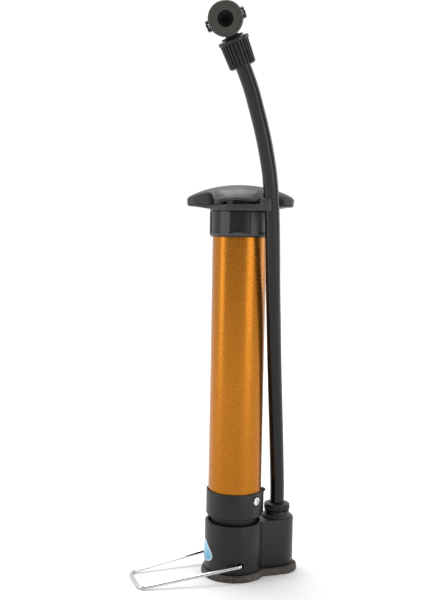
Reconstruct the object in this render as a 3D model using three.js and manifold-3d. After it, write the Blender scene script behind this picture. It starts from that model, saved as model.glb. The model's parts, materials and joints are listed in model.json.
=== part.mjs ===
// Upright mini air pump with a fold-out foot stirrup: a slim barrel on a small base, a winged
// handle on the piston rod, and a stiff hose from the base boss up past the handle's hook to a
// lever-locked valve head.  Millimetres, +Z up, origin on the barrel's axis at floor level.
import * as THREE from 'three';
import { mergeVertices } from 'three/addons/utils/BufferGeometryUtils.js';
import Module from 'manifold-3d';

const wasm = await Module();
wasm.setup();

// ---- driving dimensions ----
const GAP = 0.3;                    // air between pieces that touch on the real pump
const ROUND = 36;                   // sides of a large round piece
const FINE = 16;                    // sides of a small round piece
const ONE_TURN = 2 * Math.PI;

const BARREL = { r: 17.5, wall: 1.2, bottom: 44.5, top: 227.4 };
const PAD = { r: 20.9, bossR: 13.8, height: 4 };
const BASE = { r: 19.1, bossX: 30.4, bossR: 11.1, bottom: PAD.height + GAP, top: 35.9, wall: 2.2 };
const BADGE = { halfWidth: 8.3, point: 8.6, middleZ: 16, thick: 0.4 };
const CUP = { r: 17.1, floor: 22 };           // socket in the base that takes the barrel foot
const POCKET = { r: 5.5, floor: 7 };          // pocket of the outlet valve, under the cup floor
const CHANNEL = { r: 1.8, z: 12 };            // air channel from the pocket to the boss
const NECK = { r: 9.2, top: 40 };             // turned neck on the boss, under the hose nut
const COLLAR = { r: 18.6, bottom: 40, top: 56.6, bore: BARREL.r + 0.35, ledge: 43 };
const SCREW = { count: 2, angle: -59.5, z: 51.2, shankR: 1.25, headR: 2.85, recess: 18, inner: 15.7 };
const CAP = { r: 19.5, bottom: 221.7, top: 238, ceiling: 228, fluteR: 18.75, flutes: 6 };
const ROD = { r: 4, threadR: 2.5, bottom: 48.5, shoulder: 65.6, top: 249.5 };
const HANDLE = {
  turn: -28, half: 34.6, wingDepth: 11.5, middleHalf: 16.8, middleDepth: 19.2, hubR: 19.6,
  bottom: CAP.top + GAP, wingBottom: 240.6, waist: 242.3, brim: 244.6, crest: 255.3,
};
const DOME = { halfX: 46.5, halfY: 24.6, centreZ: 230 };    // ellipsoid that the handle's top follows
const HANDLE_NUT = { acrossFlats: 9.6, bottom: 243.4, top: 247.2, pocketR: 6.3 };
const HOSE = { r: 4.7 };
const LOWER_NUT = { bore: 5.05, r: 8.5, foot: NECK.top + 0.6, shoulder: 43.6, top: 45.3 };
const STIRRUP = { wireR: 1.1, x: -1.65, z: 10.7, half: 20.6, length: 66, endHalf: 14.2, bend: 5 };
const HEAD = {
  bodyR: 8.6, capR: 10.4, front: -12, holeR: 4.6, back: 8.4, neckR: 3.5, neckEnd: -15, boreR: 1.5,
};
const NUT_TOP = -12;                // upper face of the hose nut, below the valve axis
const UPPER_NUT = { bore: 5.3, r: 8.8, footR: 8.2, flangeR: 9.4, foot: -29.2 };
const LEVER = {
  pinY: 3, pinR: 1.2, cheekIn: 10.9, cheekOut: 12.2, cheekR: 3.4, inner: 9.2, thick: 2.6, tip: 29,
};

// The hose stands in the base boss, leans forward into the handle's hook and bows over to the
// left above it.  Each point is on its centre line, from inside the lower nut to the upper nut.
const HOSE_ROUTE = [
  [30.4, 0, 41], [30.4, -0.1, 48], [29.9, -0.9, 58], [28.7, -2.4, 72], [27.2, -4.3, 88],
  [25.6, -6.2, 104], [24.0, -8.1, 120], [22.4, -10.0, 136], [20.8, -12.1, 152], [19.2, -14.4, 168],
  [17.5, -16.8, 184], [15.9, -19.3, 200], [14.3, -21.8, 216], [12.7, -24.1, 232], [10.9, -26.3, 246],
  [8.5, -28.4, 260], [5.3, -30.3, 273], [1.5, -31.9, 286], [-2.9, -33.2, 299], [-7.2, -34.0, 311.3],
  [-12.5, -34.6, 323.3], [-14.75, -34.88, 328.2],
];

// The valve head's frame: +Z up the leaning neck, -Y out of the valve mouth.
const HEAD_CENTRE = new THREE.Vector3(-24.9, -36.2, 350.1);
const HEAD_UP = new THREE.Vector3(-0.42, -0.055, 0.906).normalize();
const HEAD_MOUTH_SIDE = new THREE.Vector3(-0.415, -0.91, 0);

// ---- solids ----

// A closed geometry with only its positions, merged vertices and faces that point out.
function clean(geometry) {
  const bare = new THREE.BufferGeometry();
  bare.setAttribute('position', geometry.getAttribute('position').clone());
  if (geometry.index) bare.setIndex(geometry.index.clone());
  const merged = mergeVertices(bare, 1e-4);
  const index = merged.index.array;
  const kept = [];
  for (let i = 0; i < index.length; i += 3) {
    const [a, b, c] = [index[i], index[i + 1], index[i + 2]];
    if (a !== b && b !== c && c !== a) kept.push(a, b, c);
  }
  const p = merged.getAttribute('position');
  const corner = (i) => new THREE.Vector3().fromBufferAttribute(p, i);
  let volume = 0;
  for (let i = 0; i < kept.length; i += 3) {
    volume += corner(kept[i]).dot(corner(kept[i + 1]).cross(corner(kept[i + 2])));
  }
  if (volume < 0) kept.reverse();
  merged.setIndex(kept);
  return merged;
}

function toSolid(geometry) {
  const g = clean(geometry);
  const triVerts = Uint32Array.from(g.index.array);
  const vertProperties = Float32Array.from(g.getAttribute('position').array);
  return new wasm.Manifold(new wasm.Mesh({ numProp: 3, vertProperties, triVerts }));
}

function toGeometry(solid) {
  const mesh = solid.getMesh();
  const g = new THREE.BufferGeometry();
  g.setAttribute('position', new THREE.BufferAttribute(mesh.vertProperties, 3));
  g.setIndex(new THREE.BufferAttribute(mesh.triVerts, 1));
  return clean(g);
}

// Join and cut: base plus every solid in adds, less every solid in cuts.
function carve(base, adds = [], cuts = []) {
  let solid = toSolid(base);
  for (const g of adds) solid = solid.add(toSolid(g));
  for (const g of cuts) solid = solid.subtract(toSolid(g));
  return toGeometry(solid);
}

// A turned piece about +Z from [radius, height] points.
function turned(points, sides = ROUND) {
  const profile = points.map(([r, z]) => new THREE.Vector2(r, z));
  return clean(new THREE.LatheGeometry(profile, sides).rotateX(Math.PI / 2));
}

function ring(inner, outer, z0, z1, sides = ROUND) {
  return turned([[inner, z0], [outer, z0], [outer, z1], [inner, z1], [inner, z0]], sides);
}

function rodAt(r, z0, z1, x = 0, y = 0, sides = FINE) {
  return turned([[0, z0], [r, z0], [r, z1], [0, z1]], sides).translate(x, y, 0);
}

function block(x0, x1, y0, y1, z0, z1) {
  const g = new THREE.BoxGeometry(x1 - x0, y1 - y0, z1 - z0);
  return g.translate((x0 + x1) / 2, (y0 + y1) / 2, (z0 + z1) / 2);
}

function prism(shape, z0, z1, curveSegments = 10) {
  const g = new THREE.ExtrudeGeometry(shape, { depth: z1 - z0, bevelEnabled: false, curveSegments });
  return clean(g.translate(0, 0, z0));
}

// A straight round bar along a direction, from one distance to another.
function bar(direction, from, to, r, sides = FINE) {
  const g = rodAt(r, from, to, 0, 0, sides);
  const turn = new THREE.Quaternion().setFromUnitVectors(new THREE.Vector3(0, 0, 1), direction);
  return g.applyQuaternion(turn);
}

// A curve that steps from one listed point to the next, so a swept section sits at each of them.
class Route extends THREE.Curve {
  constructor(points) {
    super();
    this.points = points;
  }

  getPoint(t) {
    return this.points[Math.round(t * (this.points.length - 1))].clone();
  }

  getPointAt(u) {
    return this.getPoint(u);
  }

  getTangentAt(u) {
    const last = this.points.length - 1;
    const i = Math.round(u * last);
    const before = this.points[Math.max(i - 1, 0)];
    const after = this.points[Math.min(i + 1, last)];
    return after.clone().sub(before).normalize();
  }
}

function swept(points, r, sides) {
  const section = new THREE.Shape();
  for (let i = 0; i < sides; i += 1) {
    const a = (i + 0.5) / sides * ONE_TURN;
    const step = i === 0 ? 'moveTo' : 'lineTo';
    section[step](r * Math.cos(a), r * Math.sin(a));
  }
  section.closePath();
  const route = new Route(points);
  return clean(new THREE.ExtrudeGeometry(section, { extrudePath: route, steps: points.length - 1 }));
}

// ---- assembly helpers ----
const pump = new THREE.Group();
const COLOURS = {
  black: [0x38393b, 0.55, 0], rubber: [0x2b2b2c, 0.8, 0], pad: [0x5f5a54, 0.95, 0],
  gold: [0xb8741f, 0.35, 0.8], steel: [0xb9bcc0, 0.3, 0.9], chrome: [0xd8dadc, 0.15, 1],
  blue: [0x45a9d6, 0.4, 0], brass: [0xb08d4a, 0.35, 0.9],
};

function place(parent, name, geometry, look) {
  const [color, roughness, metalness] = COLOURS[look];
  const mesh = new THREE.Mesh(geometry, new THREE.MeshStandardMaterial({ color, roughness, metalness }));
  mesh.name = name;
  parent.add(mesh);
  return mesh;
}

// ---- base, pad, badge and stirrup ----

// Plan of the base: a round lobe round the barrel's axis and a narrower one out to the boss.
function basePlan(lobe, boss) {
  const crease = Math.asin(boss / lobe);
  const plan = new THREE.Shape();
  plan.absarc(BASE.bossX, 0, boss, -Math.PI / 2, Math.PI / 2, false);
  plan.absarc(0, 0, lobe, crease, ONE_TURN - crease, false);
  plan.closePath();
  return plan;
}

function stirrupSlot(side) {
  const slot = new THREE.Shape();
  slot.absarc(0.3, 0, 1.75, -Math.PI / 2, Math.PI / 2, false);
  slot.absarc(-1.1, 0, 1.75, Math.PI / 2, Math.PI * 1.5, false);
  slot.closePath();
  const cut = prism(slot, 12, 25, 8).rotateX(Math.PI / 2);
  if (side > 0) cut.rotateX(Math.PI).scale(1, 1, -1);
  return clean(cut.translate(STIRRUP.x, 0, STIRRUP.z));
}

function makeBase() {
  const shell = prism(basePlan(BASE.r, BASE.bossR), BASE.bottom, BASE.top);
  const insidePlan = basePlan(BASE.r - BASE.wall, BASE.bossR - BASE.wall);
  const inside = prism(insidePlan, BASE.bottom - 1, CUP.floor - 2);
  const neck = turned([[0, BASE.top - 2], [10.2, BASE.top - 2], [10.2, BASE.top + 0.8], [NECK.r, 38],
    [NECK.r, NECK.top], [0, NECK.top]], 32).translate(BASE.bossX, 0, 0);
  const hollow = carve(shell, [neck], [rodAt(CUP.r, CUP.floor, BASE.top + 1, 0, 0, ROUND), inside]);
  const posts = [
    rodAt(POCKET.r + 2.7, BASE.bottom, CUP.floor - 0.5, 0, 0, 28),
    rodAt(7.6, BASE.bottom, CUP.floor, BASE.bossX, 0, 28),
    block(0, BASE.bossX, -3.6, 3.6, CHANNEL.z - 3.6, CHANNEL.z + 3.6),
  ];
  const bores = [
    rodAt(POCKET.r, POCKET.floor, CUP.floor + 1, 0, 0, 24),
    rodAt(4.3, POCKET.floor, NECK.top + 1, BASE.bossX),
    bar(new THREE.Vector3(1, 0, 0), 0, BASE.bossX, CHANNEL.r, 12).translate(0, 0, CHANNEL.z),
    stirrupSlot(-1), stirrupSlot(1),
  ];
  return carve(hollow, posts, bores);
}

function makeBadge() {
  const { halfWidth, point, middleZ, thick } = BADGE;
  const drop = new THREE.Shape();
  drop.moveTo(0, point);
  drop.bezierCurveTo(-3.2, 5.2, -halfWidth, 2.4, -halfWidth, -1.2);
  drop.bezierCurveTo(-halfWidth, -8.2, halfWidth, -8.2, halfWidth, -1.2);
  drop.bezierCurveTo(halfWidth, 2.4, 3.2, 5.2, 0, point);
  const across = BASE.r + 6;
  const punch = prism(drop, 5, across, 8)
    .rotateX(Math.PI / 2)
    .rotateZ(-Math.PI / 2)
    .translate(0, 0, middleZ);
  const skin = ring(BASE.r + GAP, BASE.r + GAP + thick, BASE.bottom, across, 64);
  return toGeometry(toSolid(skin).intersect(toSolid(punch)));
}

// One side of the wire, from its end inside the base out to the middle of the foot bar.
function stirrupSide(side) {
  const slope = Math.asin((STIRRUP.z - STIRRUP.wireR) / STIRRUP.length);
  const along = (s) => [STIRRUP.x - s * Math.cos(slope), STIRRUP.z - s * Math.sin(slope)];
  const taper = (STIRRUP.half - STIRRUP.endHalf) / STIRRUP.length;
  const width = (s) => STIRRUP.half - s * taper;
  const flat = [[0, 13]];
  for (let i = 0; i <= 4; i += 1) {
    const a = i / 4 * Math.PI / 2;
    flat.push([2 - 2 * Math.cos(a), STIRRUP.half - 2.2 + 2.2 * Math.sin(a)]);
  }
  flat.push([STIRRUP.length / 2, width(STIRRUP.length / 2)]);
  const start = STIRRUP.length - STIRRUP.bend;
  for (let i = 0; i <= 6; i += 1) {
    const a = i / 6 * Math.PI / 2;
    flat.push([start + STIRRUP.bend * Math.sin(a), width(start) - STIRRUP.bend * (1 - Math.cos(a))]);
  }
  return flat.map(([s, w]) => {
    const [x, z] = along(s);
    return new THREE.Vector3(x, side * w, z);
  });
}

function makeStirrup() {
  const points = [...stirrupSide(-1), ...stirrupSide(1).reverse()];
  return swept(points, STIRRUP.wireR, 8);
}

// ---- barrel, its foot and its cap ----

function screwDirection(i) {
  const a = THREE.MathUtils.degToRad(SCREW.angle + i * 360 / SCREW.count);
  return new THREE.Vector3(Math.cos(a), Math.sin(a), 0);
}

function screwHoles(r, from) {
  const to = COLLAR.r + 2;
  return Array.from({ length: SCREW.count }, (_, i) => (
    bar(screwDirection(i), from, to, r, 16).translate(0, 0, SCREW.z)
  ));
}

function makeBarrelFoot() {
  const foot = turned([
    [1.8, CUP.floor + GAP], [16.8, CUP.floor + GAP], [16.8, 28], [15.4, 28], [15.4, 30.4], [16.8, 30.4],
    [16.8, 33], [15.2, 33.6], [15.2, COLLAR.bottom], [18.1, COLLAR.bottom], [COLLAR.r, COLLAR.bottom + 0.6],
    [COLLAR.r, COLLAR.top], [COLLAR.bore, COLLAR.top], [COLLAR.bore, COLLAR.ledge], [13.5, COLLAR.ledge],
    [13.5, 26], [1.8, 26], [1.8, CUP.floor + GAP],
  ]);
  const shanks = screwHoles(SCREW.shankR + GAP, COLLAR.bore - 3);
  const seats = screwHoles(SCREW.headR + GAP, SCREW.recess);
  return carve(foot, [], [...shanks, ...seats]);
}

function makeScrew(i) {
  const { shankR, headR, recess, inner } = SCREW;
  const body = turned([[0, inner], [0.9, inner], [shankR, inner + 0.5], [shankR, recess + GAP],
    [headR, recess + GAP],
    [headR, recess + 0.9], [2.1, recess + 1.5], [0, recess + 1.7]], 16);
  const top = [recess + 0.8, recess + 2];
  const cross = [block(-1.5, 1.5, -0.35, 0.35, ...top), block(-0.35, 0.35, -1.5, 1.5, ...top)];
  const turn = new THREE.Quaternion().setFromUnitVectors(new THREE.Vector3(0, 0, 1), screwDirection(i));
  return carve(body, [], cross).applyQuaternion(turn).translate(0, 0, SCREW.z);
}

function makeBarrelTube() {
  const tube = ring(BARREL.r - BARREL.wall, BARREL.r, BARREL.bottom, BARREL.top);
  return carve(tube, [], screwHoles(SCREW.shankR + GAP, COLLAR.bore - 3));
}

// The cap's grip: wide shallow panels between narrow ribs, open at the top.
function capFlute(i) {
  const middle = THREE.MathUtils.degToRad(-110 + i * 360 / CAP.flutes);
  const half = THREE.MathUtils.degToRad(21);
  const panel = new THREE.Shape();
  panel.absarc(0, 0, CAP.fluteR, middle - half, middle + half, false);
  panel.absarc(0, 0, CAP.r + 1, middle + half, middle - half, true);
  panel.closePath();
  return prism(panel, CAP.bottom + 2.4, CAP.top + 1, 4);
}

function makeCap() {
  const cap = turned([
    [COLLAR.bore, CAP.bottom], [18.5, CAP.bottom], [CAP.r, CAP.bottom + 1.6], [CAP.r, CAP.top - 0.8],
    [CAP.r - 0.8, CAP.top], [6.2, CAP.top], [6.2, CAP.ceiling], [COLLAR.bore, CAP.ceiling],
    [COLLAR.bore, CAP.bottom],
  ]);
  const flutes = Array.from({ length: CAP.flutes }, (_, i) => capFlute(i));
  return carve(cap, [], flutes);
}

function makeGuideBush() {
  const bore = ROD.r + 0.2;
  return turned([[bore, 226], [8, 226], [8, 227.7], [5.9, 227.7], [5.9, 237.7], [bore, 237.7],
    [bore, 226]], 28);
}

// ---- piston rod, piston and handle ----

function makeRod() {
  const top = HANDLE.bottom + 1;
  return turned([[0, ROD.bottom], [ROD.threadR, ROD.bottom], [ROD.threadR, ROD.shoulder],
    [ROD.r, ROD.shoulder],
    [ROD.r, top], [3, top], [3, ROD.top], [0, ROD.top]], 28);
}

function makeHexNut(acrossFlats, bore, z0, z1) {
  const r = acrossFlats / Math.sqrt(3);
  return carve(rodAt(r, z0, z1, 0, 0, 6), [], [rodAt(bore, z0 - 1, z1 + 1)]);
}

function makePistonCore() {
  return turned([[2.8, 54], [11, 54], [11, 57.2], [9.6, 59.2], [2.8, 59.2], [2.8, 54]], 28);
}

function makePistonCup() {
  return turned([[2.8, 59.5], [11.5, 59.5], [14.6, 54.6], [16, 54.6], [16, 58.5], [15.2, 62], [2.8, 62],
    [2.8, 59.5]], 28);
}

// One rounded box outline as a radius in each direction: the higher the power, the squarer it is.
function boxRadius(angle, halfX, halfY, power) {
  const x = Math.abs(Math.cos(angle)) / halfX;
  const y = Math.abs(Math.sin(angle)) / halfY;
  return (x ** power + y ** power) ** (-1 / power);
}

// Outline from above: a squarish middle over the hub that runs out into two blunt wings.
function handlePlan(inset) {
  const { half, wingDepth, middleHalf, middleDepth } = HANDLE;
  const steps = 64;
  const plan = new THREE.Shape();
  for (let i = 0; i < steps; i += 1) {
    const t = (i + 0.5) / steps * ONE_TURN;
    const angle = Math.atan2(0.5 * Math.sin(t), Math.cos(t));
    const wing = boxRadius(angle, half - inset, wingDepth - inset, 3.5);
    const middle = boxRadius(angle, middleHalf - inset, middleDepth - inset, 5);
    const r = (wing ** 12 + middle ** 12) ** (1 / 12);
    plan[i === 0 ? 'moveTo' : 'lineTo'](r * Math.cos(angle), r * Math.sin(angle));
  }
  plan.closePath();
  return plan;
}

function handleTurned(geometry) {
  return geometry.rotateZ(THREE.MathUtils.degToRad(HANDLE.turn));
}

// Space kept for the hose in the handle: its own route, fattened, and opened towards the wing's end.
function hoseNotch() {
  const outward = handleTurned(new THREE.BufferGeometry().setFromPoints([new THREE.Vector3(1, 0, 0)]));
  const out = new THREE.Vector3().fromBufferAttribute(outward.getAttribute('position'), 0);
  const route = hosePoints().filter((p) => p.z > CAP.bottom + 3 && p.z < HANDLE.crest + 11);
  const slides = [0, 3, 6, 9, 12, 15];
  return slides.map((s) => swept(route, HOSE.r + GAP, 16).translate(out.x * s, out.y * s, 0));
}

// The hook that keeps the hose: a low band from the hub, ending in a taller jaw in front of the hose.
function makeHook() {
  const { bottom, waist, hubR } = HANDLE;
  const band = new THREE.Shape();
  band.moveTo(0, -hubR + 4);
  band.lineTo(0, -hubR + 0.2);
  band.lineTo(15.5, -22.8);
  band.lineTo(20, -23.4);
  band.lineTo(20, -8);
  band.closePath();
  const jaw = new THREE.Shape();
  jaw.moveTo(15.2, -8);
  jaw.lineTo(15.6, -22.8);
  jaw.lineTo(22.4, -23.4);
  jaw.lineTo(22.4, -8);
  jaw.closePath();
  return [prism(band, bottom, waist, 4), prism(jaw, bottom, bottom + 7.6, 4)];
}

// Domed shell on a round hub; pockets run in under the shell's edge between upright ribs.
function makeHandle() {
  const { wingDepth, middleDepth, hubR, bottom, wingBottom, waist, brim, crest } = HANDLE;
  const { halfX, halfY, centreZ } = DOME;
  const wingMiddle = 27;
  const wingHalf = 7.5;
  const ribHalf = 1.9;
  const dome = new THREE.SphereGeometry(1, 32, 16)
    .scale(halfX, halfY, crest - centreZ)
    .translate(0, 0, centreZ);
  const shell = toSolid(prism(handlePlan(0), brim, crest + 1)).intersect(toSolid(dome));
  const walls = toSolid(prism(handlePlan(0.8), wingBottom, brim + 1));
  const wings = [-1, 1].map((side) => {
    const x = side * wingMiddle;
    const reach = wingDepth + 1;
    const box = block(x - wingHalf, x + wingHalf, -reach, reach, wingBottom - 1, brim + 2);
    return toGeometry(walls.intersect(toSolid(box)));
  });
  const ribs = [-13.2, -4.3, 4.3, 13.2].map((x) => {
    const rib = block(x - ribHalf, x + ribHalf, -middleDepth, middleDepth, waist - 1, brim + 1);
    return toGeometry(walls.intersect(toSolid(rib)));
  });
  const core = prism(handlePlan(5), wingBottom, brim + 1);
  const hub = rodAt(hubR, bottom, waist, 0, 0, ROUND);
  const joined = handleTurned(carve(toGeometry(shell), [core, hub, ...wings, ...ribs, ...makeHook()]));
  const cuts = [
    ...hoseNotch(),
    rodAt(ROD.r + GAP, bottom - 1, bottom + 1.4),
    rodAt(3 + GAP, bottom, ROD.top + 0.6),
    rodAt(HANDLE_NUT.pocketR, HANDLE_NUT.bottom - 0.4, HANDLE_NUT.top + 0.4, 0, 0, 24),
  ];
  return carve(joined, [], cuts);
}

// ---- outlet valve and hose ----

function makeValveSeat() {
  return turned([[1.4, 21.7], [1.4, 20.6], [2.9, 18.9], [5.2, 18.9], [5.2, 21.7], [1.4, 21.7]], 24);
}

function makeValveSpring() {
  const turns = 4.5;
  const steps = 36;
  const points = [];
  for (let i = 0; i <= steps; i += 1) {
    const a = i / steps * turns * ONE_TURN;
    points.push(new THREE.Vector3(1.9 * Math.cos(a), 1.9 * Math.sin(a), 7.7 + i / steps * 5.5));
  }
  return swept(points, 0.3, 5);
}

function makeHoseSpigot() {
  return ring(1.2, 4, 16, NECK.top + GAP, 20).translate(BASE.bossX, 0, 0);
}

// Knurled nut: a turned ring with square grooves cut down its rim.
function grooved(geometry, count, radius, width, depth, z0, z1) {
  const cuts = [];
  for (let i = 0; i < count; i += 1) {
    const groove = block(radius - depth, radius + 3, -width / 2, width / 2, z0, z1);
    cuts.push(groove.rotateZ(i / count * ONE_TURN));
  }
  return carve(geometry, [], cuts);
}

function makeLowerNut() {
  const { bore, r, foot, shoulder, top } = LOWER_NUT;
  const nut = turned([[bore, foot], [r - 0.3, foot], [r, foot + 0.4], [r, shoulder],
    [r - 0.9, shoulder + 1.1], [bore + 0.9, top], [bore, top], [bore, foot]], 24);
  return grooved(nut, 12, r, 1.4, 0.5, foot + 0.5, shoulder - 0.2).translate(BASE.bossX, 0, 0);
}

function hosePoints() {
  const knots = HOSE_ROUTE.map(([x, y, z]) => new THREE.Vector3(x, y, z));
  return new THREE.CatmullRomCurve3(knots, false, 'centripetal').getSpacedPoints(24);
}

// ---- valve head, drawn in its own frame ----

function headFrame() {
  const mouth = HEAD_MOUTH_SIDE.clone().addScaledVector(HEAD_UP, -HEAD_MOUTH_SIDE.dot(HEAD_UP)).normalize();
  const side = new THREE.Vector3().crossVectors(HEAD_UP, mouth);
  const frame = new THREE.Group();
  const axes = new THREE.Matrix4().makeBasis(side, mouth.clone().negate(), HEAD_UP);
  frame.quaternion.setFromRotationMatrix(axes);
  frame.position.copy(HEAD_CENTRE);
  return frame;
}

// A piece turned about the head's valve axis, from [radius, distance behind the neck axis] points.
function aboutValve(points, sides = 28) {
  return clean(turned(points, sides).rotateX(-Math.PI / 2));
}

// A bar on the lever's axis, between two distances to one side of the head.
function pinBar(side, from, to, r) {
  return bar(new THREE.Vector3(side, 0, 0), from, to, r, 14).translate(0, LEVER.pinY, 0);
}

function makeHeadBody() {
  const { bodyR, back, neckR, neckEnd, boreR } = HEAD;
  const body = aboutValve([[0, -8.4], [7.6, -8.4], [7.6, -5.1], [bodyR, -5.1], [bodyR, 3], [7.6, 6],
    [5.2, back], [0, back]]);
  const shoulder = NUT_TOP + GAP;
  const neck = turned([[0, neckEnd], [5, neckEnd], [5, shoulder], [6.8, shoulder],
    [6.8, NUT_TOP + 1.3], [neckR + 0.4, NUT_TOP + 1.8], [neckR, NUT_TOP + 4], [neckR, 0], [0, 0]], 24);
  const bores = [
    aboutValve([[0, -9], [5.3, -9], [5.3, 1.6], [0, 1.6]], 24),
    aboutValve([[0, 1], [2.2, 1], [2.2, back + 1], [0, back + 1]], 16),
    rodAt(boreR, neckEnd - 1, 0, 0, 0, 12),
    pinBar(1, 5.4, 10, LEVER.pinR + GAP),
    pinBar(-1, 5.4, 10, LEVER.pinR + GAP),
  ];
  return carve(body, [neck], bores);
}

function makeHeadCap() {
  const { capR, front, holeR } = HEAD;
  const inner = 7.95;
  const cap = aboutValve([[inner, -5.4], [9.9, -5.4], [capR, -5.9], [capR, front + 0.7], [9.8, front],
    [holeR, front], [holeR, -9], [inner, -9], [inner, -5.4]], 32);
  const cuts = [];
  const grooves = 16;
  for (let i = 0; i < grooves; i += 1) {
    const groove = block(capR - 0.4, capR + 2, -10.8, -6.4, -0.6, 0.6);
    cuts.push(groove.rotateY(i / grooves * ONE_TURN));
  }
  return carve(cap, [], cuts);
}

function makeValveGasket() {
  return aboutValve([[2.6, -6.6], [4.9, -6.6], [4.9, -3.3], [2.6, -3.3], [2.6, -6.6]]);
}

function makePusher() {
  const rear = LEVER.pinY + LEVER.inner - GAP;
  const stemR = 1.9;
  return aboutValve([[0, -2], [4.8, -2], [4.8, 0.2], [stemR, 0.2], [stemR, rear - 0.6], [1.3, rear],
    [0, rear]], 20);
}

function makeUpperNut() {
  const { bore, r, footR, flangeR, foot } = UPPER_NUT;
  const flange = NUT_TOP - 2.2;
  const nut = turned([[bore, foot], [footR - 0.9, foot], [footR, foot + 1.2], [r, flange],
    [flangeR, flange],
    [flangeR, NUT_TOP - 0.4], [flangeR - 0.4, NUT_TOP], [bore, NUT_TOP], [bore, foot]], 30);
  return grooved(nut, 15, r, 1.3, 1, foot + 1.5, flange);
}

function makeHeadSpigot() {
  return turned([[1.2, -23.7], [2.4, -23.7], [3.4, -21], [2.6, -21], [3.4, -18], [2.6, -18], [2.6, -15.3],
    [1.2, -15.3], [1.2, -23.7]], 20);
}

// Lever in its open place, straight back from the valve: round cheeks at the pins, a web that joins
// them behind the head's body, and a thumb tab.
function makeLever() {
  const { pinY, pinR, cheekIn, cheekOut, cheekR, inner, thick, tip } = LEVER;
  const web = pinY + inner;
  const cheek = new THREE.Shape();
  cheek.absarc(pinY, 0, cheekR, Math.PI / 2, Math.PI * 1.5, false);
  cheek.lineTo(web + thick, -cheekR);
  cheek.lineTo(web + thick, cheekR);
  cheek.closePath();
  const upright = (g) => clean(g.rotateX(Math.PI / 2).rotateZ(Math.PI / 2));
  const cheeks = [
    upright(prism(cheek, cheekIn, cheekOut, 6)),
    upright(prism(cheek, -cheekOut, -cheekIn, 6)),
  ];
  const bridge = block(-cheekOut, cheekOut, web, web + thick, -cheekR, cheekR);
  const tab = new THREE.Shape();
  tab.moveTo(-cheekOut, web + 0.2);
  tab.lineTo(-cheekOut, web + thick);
  tab.bezierCurveTo(-7.5, web + 5, -6.5, web + 6, -6.3, tip - 4);
  tab.bezierCurveTo(-6, tip, 6, tip, 6.3, tip - 4);
  tab.bezierCurveTo(6.5, web + 6, 7.5, web + 5, cheekOut, web + thick);
  tab.lineTo(cheekOut, web + 0.2);
  tab.closePath();
  const holes = [pinBar(1, -14, 14, pinR + GAP)];
  return carve(bridge, [...cheeks, prism(tab, -1.3, 1.3, 6)], holes);
}

function makeLeverPin(side) {
  return pinBar(side, 5.8, LEVER.cheekOut + 0.5, LEVER.pinR);
}

// ---- the assembly ----
place(pump, 'foot_pad', prism(basePlan(PAD.r, PAD.bossR), 0, PAD.height), 'pad');
place(pump, 'base_shell', makeBase(), 'black');
place(pump, 'drop_badge', makeBadge(), 'blue');
place(pump, 'stirrup_wire', makeStirrup(), 'chrome');

place(pump, 'barrel_foot', makeBarrelFoot(), 'black');
place(pump, 'base_oring', new THREE.TorusGeometry(16.15, 0.6, 6, 28).translate(0, 0, 29.2), 'rubber');
place(pump, 'barrel_gasket', ring(14, 17.5, COLLAR.ledge + GAP, BARREL.bottom - GAP), 'rubber');
place(pump, 'barrel_tube', makeBarrelTube(), 'gold');
for (let i = 0; i < SCREW.count; i += 1) place(pump, `collar_screw_${i + 1}`, makeScrew(i), 'steel');
place(pump, 'barrel_cap', makeCap(), 'black');
place(pump, 'rod_guide_bush', makeGuideBush(), 'brass');

place(pump, 'piston_rod', makeRod(), 'steel');
place(pump, 'piston_nut', makeHexNut(8, 2.8, 49, 52.2), 'steel');
place(pump, 'piston_washer', ring(2.8, 9, 52.5, 53.7, 28), 'steel');
place(pump, 'piston_core', makePistonCore(), 'black');
place(pump, 'piston_cup', makePistonCup(), 'rubber');
place(pump, 'piston_plate', ring(2.8, 14.8, 62.3, 65.3, 28), 'black');
place(pump, 'rebound_buffer', ring(ROD.r + GAP, 8, 65.7, 70.7, 28), 'rubber');
place(pump, 'handle', makeHandle(), 'black');
const { acrossFlats, bottom: nutBottom, top: nutTop } = HANDLE_NUT;
place(pump, 'handle_nut', makeHexNut(acrossFlats, 3.3, nutBottom, nutTop), 'steel');

place(pump, 'outlet_valve_seat', makeValveSeat(), 'brass');
place(pump, 'valve_ball', new THREE.SphereGeometry(2.4, 14, 8).translate(0, 0, 16.6), 'steel');
place(pump, 'valve_spring', makeValveSpring(), 'steel');
place(pump, 'hose_spigot', makeHoseSpigot(), 'brass');
place(pump, 'hose_nut_lower', makeLowerNut(), 'black');
place(pump, 'air_hose', swept(hosePoints(), HOSE.r, 12), 'rubber');

const head = headFrame();
pump.add(head);
place(head, 'hose_nut_upper', makeUpperNut(), 'black');
place(head, 'head_spigot', makeHeadSpigot(), 'brass');
place(head, 'head_body', makeHeadBody(), 'black');
place(head, 'head_cap', makeHeadCap(), 'black');
place(head, 'valve_gasket', makeValveGasket(), 'rubber');
place(head, 'valve_pusher', makePusher(), 'black');
place(head, 'head_lever', makeLever(), 'black');
place(head, 'lever_pin_right', makeLeverPin(1), 'steel');
place(head, 'lever_pin_left', makeLeverPin(-1), 'steel');

export default pump;
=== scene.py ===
"""Looks of an upright mini air pump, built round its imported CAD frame.

Lengths in the piece builders are millimetres, as on a drawing; solid() turns them into metres.
"""
import json
import math
from collections import namedtuple
import bpy
import bmesh
from mathutils import Matrix, Vector, noise


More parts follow.
